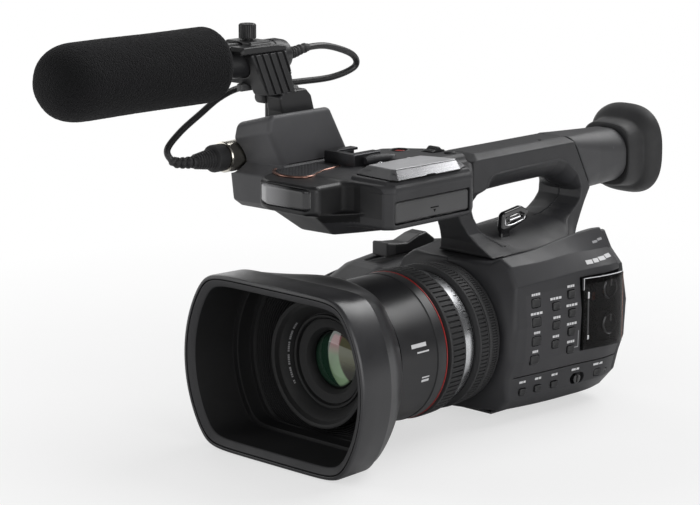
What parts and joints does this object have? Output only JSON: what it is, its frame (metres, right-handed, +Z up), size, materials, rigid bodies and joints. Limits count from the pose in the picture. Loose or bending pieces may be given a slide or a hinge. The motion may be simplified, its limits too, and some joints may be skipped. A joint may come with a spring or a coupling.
{
  "type": "professional handheld camcorder",
  "caption": "Handheld video camcorder with wide lens hood, ribbed lens rings, top handle, tilting viewfinder, pull-out screen, side microphone in a clamp and a right-hand grip with strap.",
  "frame": {"origin": "centre of the flat underside of the base plate, where a tripod plate goes", "axes": "+Z up, lens pointing to -Y, control-key side at +X, hand-grip and microphone side at -X"},
  "size_m": [0.184, 0.4336, 0.2461],
  "materials": {
    "body_plastic": "fine spark-eroded grain, dark charcoal, satin",
    "handle_plastic": "fine grain, dark charcoal, satin",
    "hood_plastic": "smooth semi-matt black outside, flocked-looking matt black inside",
    "barrel_plastic": "smooth semi-matt black",
    "ring_rubber": "moulded ribs, matt black",
    "scale_metal": "circumferentially brushed",
    "lens_glass": "multi-coated, green and magenta reflections",
    "smoked_window": "glossy smoked plastic",
    "foam": "open-cell black foam",
    "strap_fabric": "padded woven nylon with a leather-like cover",
    "cable_jacket": "satin black jacket",
    "key_plastic": "satin black keys",
    "red_key": "red record key",
    "light_diffuser": "frosted window over the video light",
    "circuit_board": "solder mask",
    "lug_metal": "black chrome wire",
    "plug_metal": "satin nickel shell with a black boot",
    "shoe_metal": "blackened steel",
    "screen_glass": "display glass",
    "optic_glass": "optical glass"
  },
  "bodies": {
    "camera_body": {"left_shell": "body_plastic", "right_shell": "body_plastic", "base_plate": "body_plastic", "rear_cover": "body_plastic", "lens_barrel": "barrel_plastic", "front_element": "lens_glass", "zoom_lens_group": "barrel_plastic", "sensor_prism": "optic_glass", "main_board": "circuit_board", "scale_ring": "scale_metal", "lens_hood": "hood_plastic", "handle": "handle_plastic", "strap_lug": "lug_metal", "top_housing": "handle_plastic", "light_window": "light_diffuser", "accessory_shoe": "shoe_metal", "audio_box": "handle_plastic", "xlr_plug": "plug_metal", "mic_holder": "key_plastic", "microphone": "barrel_plastic", "windscreen": "foam", "mic_cable": "cable_jacket", "hand_strap": "strap_fabric"},
    "viewfinder": {"evf_tube": "handle_plastic", "evf_eyepiece": "optic_glass", "eyecup": "ring_rubber"},
    "diopter": {"diopter_lever": "key_plastic"},
    "screen": {"lcd_panel": "key_plastic", "lcd_screen": "screen_glass"},
    "focus": {"focus_ring": "ring_rubber"},
    "zoom": {"zoom_ring": "ring_rubber"},
    "iris": {"iris_ring": "ring_rubber"},
    "door": {"audio_door": "smoked_window"},
    "level_knob_1": {"audio_knob_1": "key_plastic"},
    "level_knob_2": {"audio_knob_2": "key_plastic"},
    "key_1a": {"button_1a": "key_plastic"},
    "key_1b": {"button_1b": "key_plastic"},
    "key_1c": {"button_1c": "key_plastic"},
    "key_1d": {"button_1d": "key_plastic"},
    "key_2a": {"button_2a": "key_plastic"},
    "key_2b": {"button_2b": "key_plastic"},
    "key_2c": {"button_2c": "key_plastic"},
    "key_3a": {"button_3a": "key_plastic"},
    "key_3b": {"button_3b": "key_plastic"},
    "key_3c": {"button_3c": "key_plastic"},
    "key_3d": {"button_3d": "key_plastic"},
    "key_user_button_1": {"user_button_1": "key_plastic"},
    "key_user_button_2": {"user_button_2": "key_plastic"},
    "key_user_button_3": {"user_button_3": "key_plastic"},
    "key_quick_button": {"quick_button": "key_plastic"},
    "mode_slider": {"mode_switch": "key_plastic"},
    "grip_rocker": {"zoom_rocker": "key_plastic"},
    "rec_key": {"rec_button": "red_key"},
    "power_dial": {"power_switch": "key_plastic"},
    "handle_rec_key": {"handle_rec_button": "red_key"},
    "handle_zoom": {"handle_zoom_lever": "key_plastic"},
    "card_cover": {"card_door": "body_plastic"},
    "battery_pack": {"battery": "key_plastic"},
    "clamp_lid": {"mic_clamp": "key_plastic"},
    "clamp_screw": {"mic_clamp_knob": "key_plastic"}
  },
  "joints": [
    {"name": "viewfinder_tilt", "type": "hinge", "parent": "camera_body", "child": "viewfinder", "pos_m": [0, 0.045, 0.1619], "axis": [1, 0, 0], "range_deg": [0, 75]},
    {"name": "diopter_turn", "type": "hinge", "parent": "viewfinder", "child": "diopter", "pos_m": [-0.0159, 0.084, 0.135], "axis": [-1, 0, 0], "range_deg": [-25, 25]},
    {"name": "screen_pull", "type": "slide", "parent": "camera_body", "child": "screen", "axis": [1, 0, 0], "range_m": [0, 0.075]},
    {"name": "focus_turn", "type": "hinge", "parent": "camera_body", "child": "focus", "pos_m": [0, -0.0925, 0.051], "axis": [0, 1, 0], "continuous": true},
    {"name": "zoom_turn", "type": "hinge", "parent": "camera_body", "child": "zoom", "pos_m": [0, -0.0682, 0.051], "axis": [0, 1, 0], "range_deg": [-45, 45]},
    {"name": "iris_turn", "type": "hinge", "parent": "camera_body", "child": "iris", "pos_m": [0, -0.0582, 0.051], "axis": [0, 1, 0], "continuous": true},
    {"name": "audio_door_swing", "type": "hinge", "parent": "camera_body", "child": "door", "pos_m": [0.0558, 0.0112, 0.061], "axis": [0, 0, -1], "range_deg": [0, 100]},
    {"name": "audio_knob_1_turn", "type": "hinge", "parent": "camera_body", "child": "level_knob_1", "pos_m": [0.0489, 0.0382, 0.072], "axis": [1, 0, 0], "range_deg": [-140, 140]},
    {"name": "audio_knob_2_turn", "type": "hinge", "parent": "camera_body", "child": "level_knob_2", "pos_m": [0.0489, 0.0382, 0.0495], "axis": [1, 0, 0], "range_deg": [-140, 140]},
    {"name": "button_1a_press", "type": "slide", "parent": "camera_body", "child": "key_1a", "axis": [-0.9962, 0.0872, 0], "range_m": [0, 0.0007]},
    {"name": "button_1b_press", "type": "slide", "parent": "camera_body", "child": "key_1b", "axis": [-0.9962, 0.0872, 0], "range_m": [0, 0.0007]},
    {"name": "button_1c_press", "type": "slide", "parent": "camera_body", "child": "key_1c", "axis": [-0.9962, 0.0872, 0], "range_m": [0, 0.0007]},
    {"name": "button_1d_press", "type": "slide", "parent": "camera_body", "child": "key_1d", "axis": [-0.9962, 0.0872, 0], "range_m": [0, 0.0007]},
    {"name": "button_2a_press", "type": "slide", "parent": "camera_body", "child": "key_2a", "axis": [-0.9962, 0.0872, 0], "range_m": [0, 0.0007]},
    {"name": "button_2b_press", "type": "slide", "parent": "camera_body", "child": "key_2b", "axis": [-0.9962, 0.0872, 0], "range_m": [0, 0.0007]},
    {"name": "button_2c_press", "type": "slide", "parent": "camera_body", "child": "key_2c", "axis": [-0.9962, 0.0872, 0], "range_m": [0, 0.0007]},
    {"name": "button_3a_press", "type": "slide", "parent": "camera_body", "child": "key_3a", "axis": [-0.9962, 0.0872, 0], "range_m": [0, 0.0007]},
    {"name": "button_3b_press", "type": "slide", "parent": "camera_body", "child": "key_3b", "axis": [-0.9962, 0.0872, 0], "range_m": [0, 0.0007]},
    {"name": "button_3c_press", "type": "slide", "parent": "camera_body", "child": "key_3c", "axis": [-0.9962, 0.0872, 0], "range_m": [0, 0.0007]},
    {"name": "button_3d_press", "type": "slide", "parent": "camera_body", "child": "key_3d", "axis": [-0.9962, 0.0872, 0], "range_m": [0, 0.0007]},
    {"name": "user_button_1_press", "type": "slide", "parent": "camera_body", "child": "key_user_button_1", "axis": [-0.9888, 0.0865, 0.1219], "range_m": [0, 0.0007]},
    {"name": "user_button_2_press", "type": "slide", "parent": "camera_body", "child": "key_user_button_2", "axis": [-0.9888, 0.0865, 0.1219], "range_m": [0, 0.0007]},
    {"name": "user_button_3_press", "type": "slide", "parent": "camera_body", "child": "key_user_button_3", "axis": [-0.9888, 0.0865, 0.1219], "range_m": [0, 0.0007]},
    {"name": "quick_button_press", "type": "slide", "parent": "camera_body", "child": "key_quick_button", "axis": [-0.9888, 0.0865, 0.1219], "range_m": [0, 0.0007]},
    {"name": "mode_switch_slide", "type": "slide", "parent": "camera_body", "child": "mode_slider", "axis": [0.0872, 0.9962, 0], "range_m": [-0.0025, 0.0025]},
    {"name": "zoom_rocker_tilt", "type": "hinge", "parent": "camera_body", "child": "grip_rocker", "pos_m": [-0.069, -0.018, 0.0886], "axis": [1, 0, 0], "range_deg": [-7, 7]},
    {"name": "rec_button_press", "type": "slide", "parent": "camera_body", "child": "rec_key", "axis": [0, -1, 0], "range_m": [0, 0.001]},
    {"name": "power_switch_turn", "type": "hinge", "parent": "camera_body", "child": "power_dial", "pos_m": [-0.066, 0.0446, 0.065], "axis": [0, 1, 0], "range_deg": [0, 40]},
    {"name": "handle_rec_press", "type": "slide", "parent": "camera_body", "child": "handle_rec_key", "axis": [0, 0, -1], "range_m": [0, 0.001]},
    {"name": "handle_zoom_tilt", "type": "hinge", "parent": "camera_body", "child": "handle_zoom", "pos_m": [-0.008, -0.057, 0.159], "axis": [1, 0, 0], "range_deg": [-8, 8]},
    {"name": "card_door_swing", "type": "hinge", "parent": "camera_body", "child": "card_cover", "pos_m": [0.042, 0.0542, 0.05], "axis": [0, 0, -1], "range_deg": [0, 100]},
    {"name": "battery_slide", "type": "slide", "parent": "camera_body", "child": "battery_pack", "axis": [0, 0, 1], "range_m": [0, 0.015]},
    {"name": "mic_clamp_open", "type": "hinge", "parent": "camera_body", "child": "clamp_lid", "pos_m": [-0.098, -0.142, 0.2211], "axis": [0, -1, 0], "range_deg": [0, 100]},
    {"name": "mic_clamp_knob_turn", "type": "hinge", "parent": "clamp_lid", "child": "clamp_screw", "pos_m": [-0.08, -0.145, 0.2329], "axis": [0, 0, 1], "continuous": true}
  ]
}
